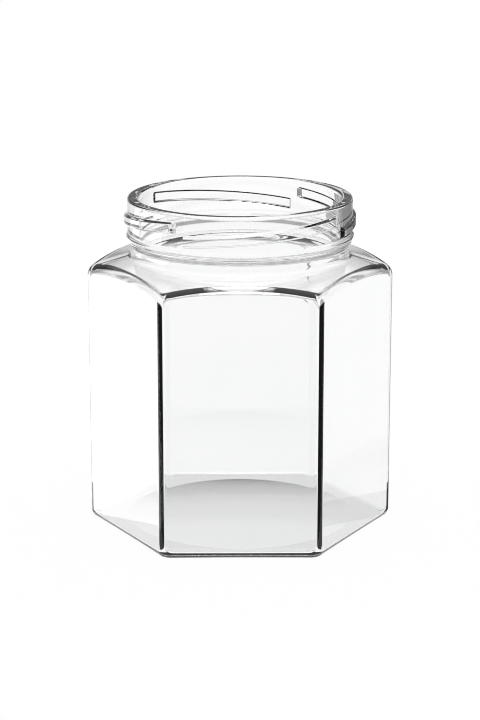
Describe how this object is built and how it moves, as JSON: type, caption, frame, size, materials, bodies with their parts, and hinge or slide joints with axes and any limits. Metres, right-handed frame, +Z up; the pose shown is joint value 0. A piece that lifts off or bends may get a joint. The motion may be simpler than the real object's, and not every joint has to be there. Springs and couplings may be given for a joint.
{
  "type": "hexagonal glass jar",
  "caption": "Empty clear glass storage jar with a hexagonal body and a round, wide neck with lugs for a twist-off lid.",
  "frame": {"origin": "middle of the base, on the surface that the jar stands on", "axes": "+Z up along the neck's axis; -Y out of the middle of one flat side; +X through a corner of the hexagon"},
  "size_m": [0.0918, 0.0804, 0.1009],
  "materials": {
    "clear_glass": "clear, fire-polished"
  },
  "bodies": {
    "root": {"glass_jar": "clear_glass"}
  },
  "joints": []
}
